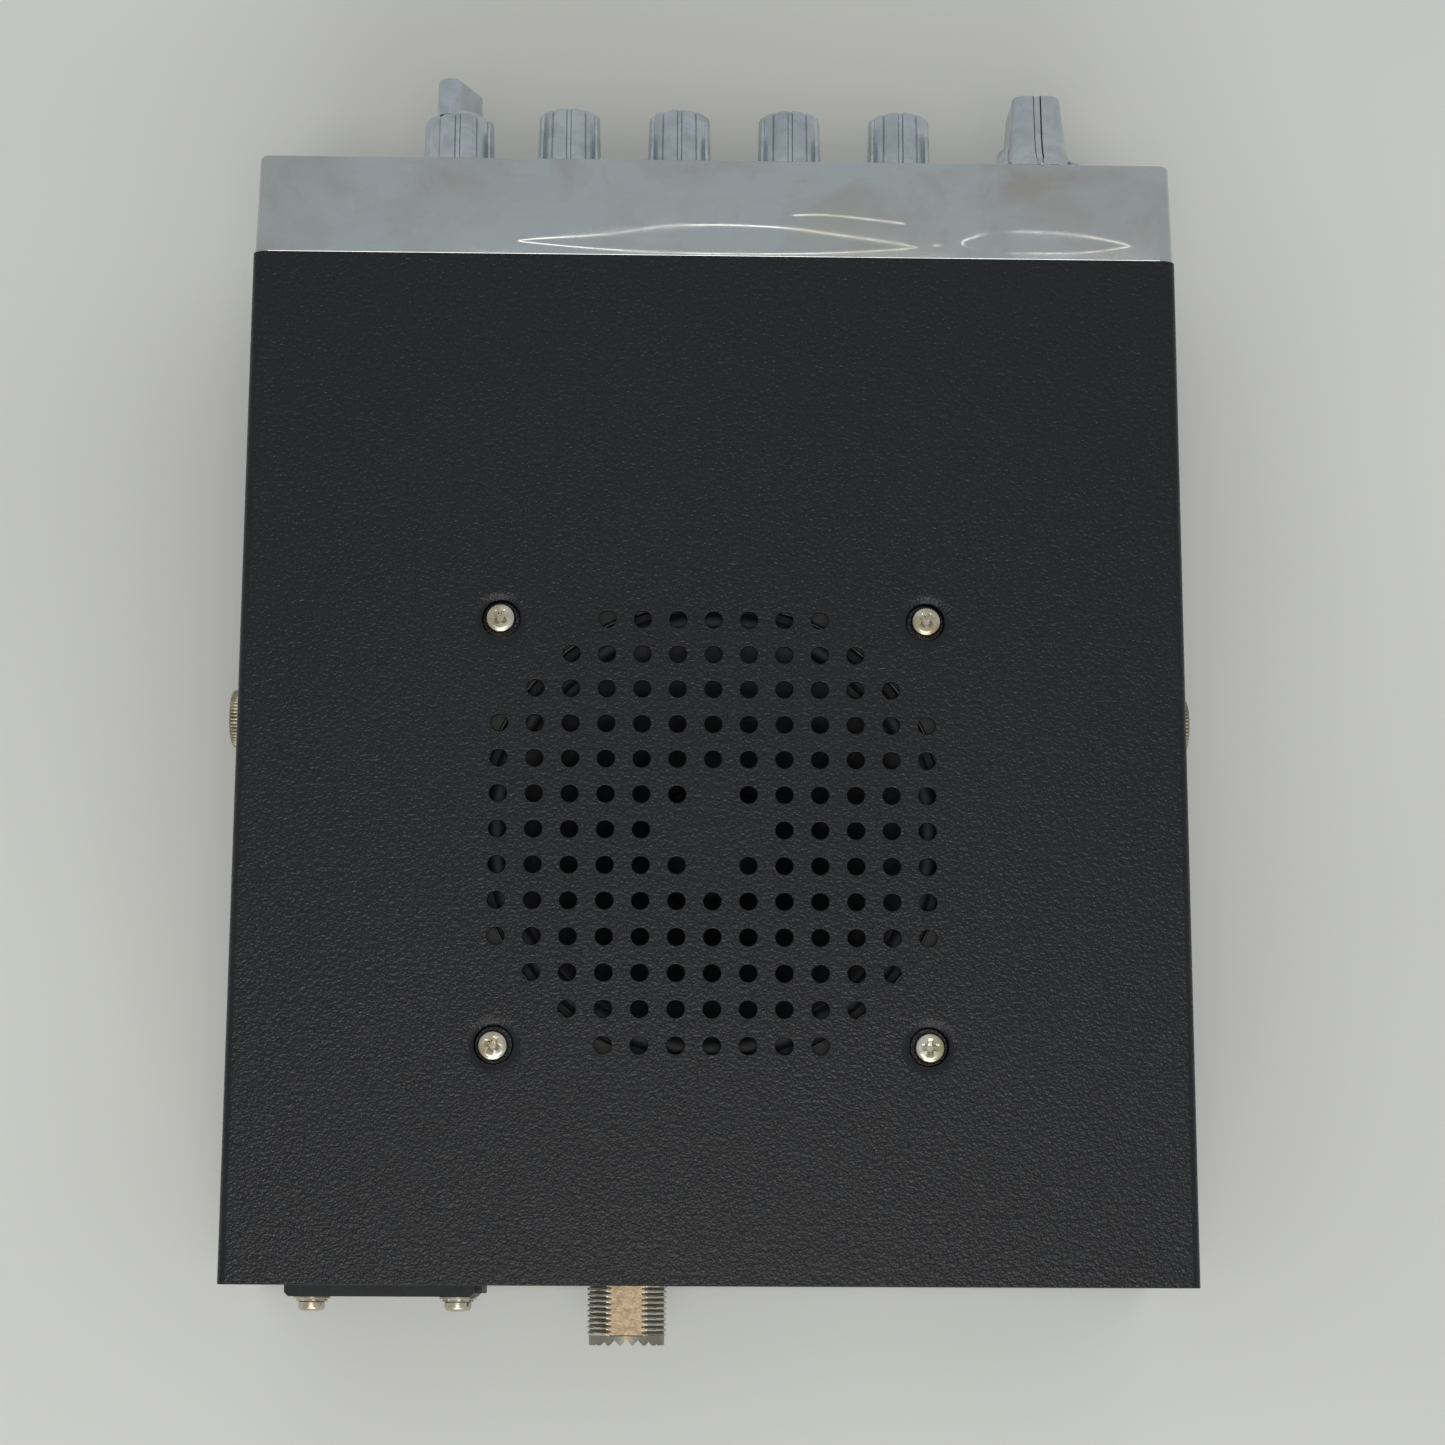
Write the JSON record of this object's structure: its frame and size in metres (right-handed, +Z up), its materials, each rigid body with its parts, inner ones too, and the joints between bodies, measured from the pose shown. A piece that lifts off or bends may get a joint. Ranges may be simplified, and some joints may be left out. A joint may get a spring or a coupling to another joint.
{
  "type": "mobile transceiver",
  "caption": "Vehicle radio transceiver in a black sheet-metal case with a perforated speaker grille, chromed front bezel, rotary knobs, toggle switches and a coaxial antenna socket.",
  "frame": {"origin": "middle of the underside, the plain base cover's outer face, on the plane it rests on; half way between the covers' front and rear edges", "axes": "+Z up out of the speaker cover's face, which lies on top; the front panel with its knobs faces -Y; the antenna socket at the rear faces +Y; +X is to the right seen from the front. In use the set is often hung from a bracket the other way up, speaker down."},
  "size_m": [0.197, 0.258, 0.06],
  "materials": {
    "cover_paint": "fine textured black paint on steel sheet",
    "zinc_steel": "zinc plated steel sheet",
    "bezel_chrome": "chrome plated die casting",
    "plate_black": "satin black",
    "window_tint": "smoked clear plastic",
    "module_plastic": "moulded",
    "circuit_board": "solder-masked glass epoxy",
    "lamp_plastic": "tinted clear epoxy",
    "knob_plate": "satin chrome plated plastic",
    "shaft_metal": "turned",
    "control_metal": "plated",
    "switch_phenolic": "moulded phenolic",
    "nickel": "nickel plated brass and steel",
    "contact_silver": "plated contact",
    "insulator": "machined fluoroplastic",
    "black_nylon": "moulded",
    "black_anodised": "black anodised extrusion",
    "black_screw": "black zinc",
    "speaker_steel": "pressed and plated",
    "cone_paper": "felted paper",
    "ferrite": "fired",
    "gasket_card": "pressed card",
    "tin_can": "tinned",
    "board_plastic": "sleeved",
    "bare_aluminium": "mill finish",
    "wire_cover": "extruded"
  },
  "bodies": {
    "chassis": {"speaker_cover": "cover_paint", "base_cover": "cover_paint", "side_rails": "zinc_steel", "rear_panel": "zinc_steel", "front_subpanel": "zinc_steel", "front_bezel": "bezel_chrome", "front_plate": "plate_black", "display_windows": "window_tint", "frequency_display": "module_plastic", "meter_display": "module_plastic", "display_board": "circuit_board", "status_lamps": "lamp_plastic", "control_pots": "control_metal", "channel_switch": "switch_phenolic", "control_nuts": "nickel", "toggle_bodies": "switch_phenolic", "toggle_nuts": "nickel", "mic_jack": "nickel", "mic_jack_insert": "black_nylon", "antenna_socket": "nickel", "antenna_insulator": "insulator", "antenna_contact": "contact_silver", "antenna_screws": "nickel", "power_socket": "black_nylon", "power_pins": "contact_silver", "speaker_jacks": "black_nylon", "heat_plate": "black_anodised", "heat_plate_screws": "nickel", "bracket_standoffs": "nickel", "cover_screws": "black_screw", "speaker_frame": "speaker_steel", "speaker_cone": "cone_paper", "speaker_magnet": "ferrite", "speaker_gasket": "gasket_card", "speaker_screws": "nickel", "main_board": "circuit_board", "shield_cans": "tin_can", "board_parts": "board_plastic", "heat_bar": "bare_aluminium", "power_transistors": "black_nylon", "chassis_screws": "nickel", "wiring": "wire_cover"},
    "volume": {"volume_knob": "knob_plate", "volume_shaft": "shaft_metal"},
    "rf_gain": {"rf_gain_ring": "knob_plate", "rf_gain_shaft": "shaft_metal"},
    "squelch": {"squelch_knob": "knob_plate", "squelch_shaft": "shaft_metal"},
    "mic_gain": {"mic_gain_knob": "knob_plate", "mic_gain_shaft": "shaft_metal"},
    "power": {"power_knob": "knob_plate", "power_shaft": "shaft_metal"},
    "clarifier": {"clarifier_knob": "knob_plate", "clarifier_shaft": "shaft_metal"},
    "channel": {"channel_knob": "knob_plate", "channel_shaft": "shaft_metal"},
    "lever_1": {"toggle_lever_1": "nickel"},
    "lever_2": {"toggle_lever_2": "nickel"},
    "lever_3": {"toggle_lever_3": "nickel"},
    "lever_4": {"toggle_lever_4": "nickel"}
  },
  "joints": [
    {"name": "volume_turn", "type": "hinge", "parent": "chassis", "child": "volume", "pos_m": [0.0533, -0.1243, 0.045], "axis": [0, 1, 0], "range_deg": [-174.6, 125.4]},
    {"name": "rf_gain_turn", "type": "hinge", "parent": "chassis", "child": "rf_gain", "pos_m": [0.0533, -0.1243, 0.045], "axis": [0, 1, 0], "range_deg": [-150, 150]},
    {"name": "squelch_turn", "type": "hinge", "parent": "chassis", "child": "squelch", "pos_m": [0.03035, -0.1243, 0.045], "axis": [0, 1, 0], "range_deg": [-130, 170]},
    {"name": "mic_gain_turn", "type": "hinge", "parent": "chassis", "child": "mic_gain", "pos_m": [0.0074, -0.1243, 0.045], "axis": [0, 1, 0], "range_deg": [-150, 150]},
    {"name": "power_turn", "type": "hinge", "parent": "chassis", "child": "power", "pos_m": [-0.01555, -0.1243, 0.045], "axis": [0, 1, 0], "range_deg": [-190, 110]},
    {"name": "clarifier_turn", "type": "hinge", "parent": "chassis", "child": "clarifier", "pos_m": [-0.0385, -0.1243, 0.045], "axis": [0, 1, 0], "range_deg": [-150, 150]},
    {"name": "channel_turn", "type": "hinge", "parent": "chassis", "child": "channel", "pos_m": [-0.0668, -0.1243, 0.045], "axis": [0, 1, 0], "continuous": true},
    {"name": "lever_1_tilt", "type": "hinge", "parent": "chassis", "child": "lever_1", "pos_m": [-0.0195, -0.1225, 0.018], "axis": [1, 0, 0], "range_deg": [-12, 12]},
    {"name": "lever_2_tilt", "type": "hinge", "parent": "chassis", "child": "lever_2", "pos_m": [-0.0065, -0.1225, 0.018], "axis": [1, 0, 0], "range_deg": [-12, 12]},
    {"name": "lever_3_tilt", "type": "hinge", "parent": "chassis", "child": "lever_3", "pos_m": [0.0065, -0.1225, 0.018], "axis": [1, 0, 0], "range_deg": [-12, 12]},
    {"name": "lever_4_tilt", "type": "hinge", "parent": "chassis", "child": "lever_4", "pos_m": [0.0195, -0.1225, 0.018], "axis": [1, 0, 0], "range_deg": [-12, 12]}
  ]
}
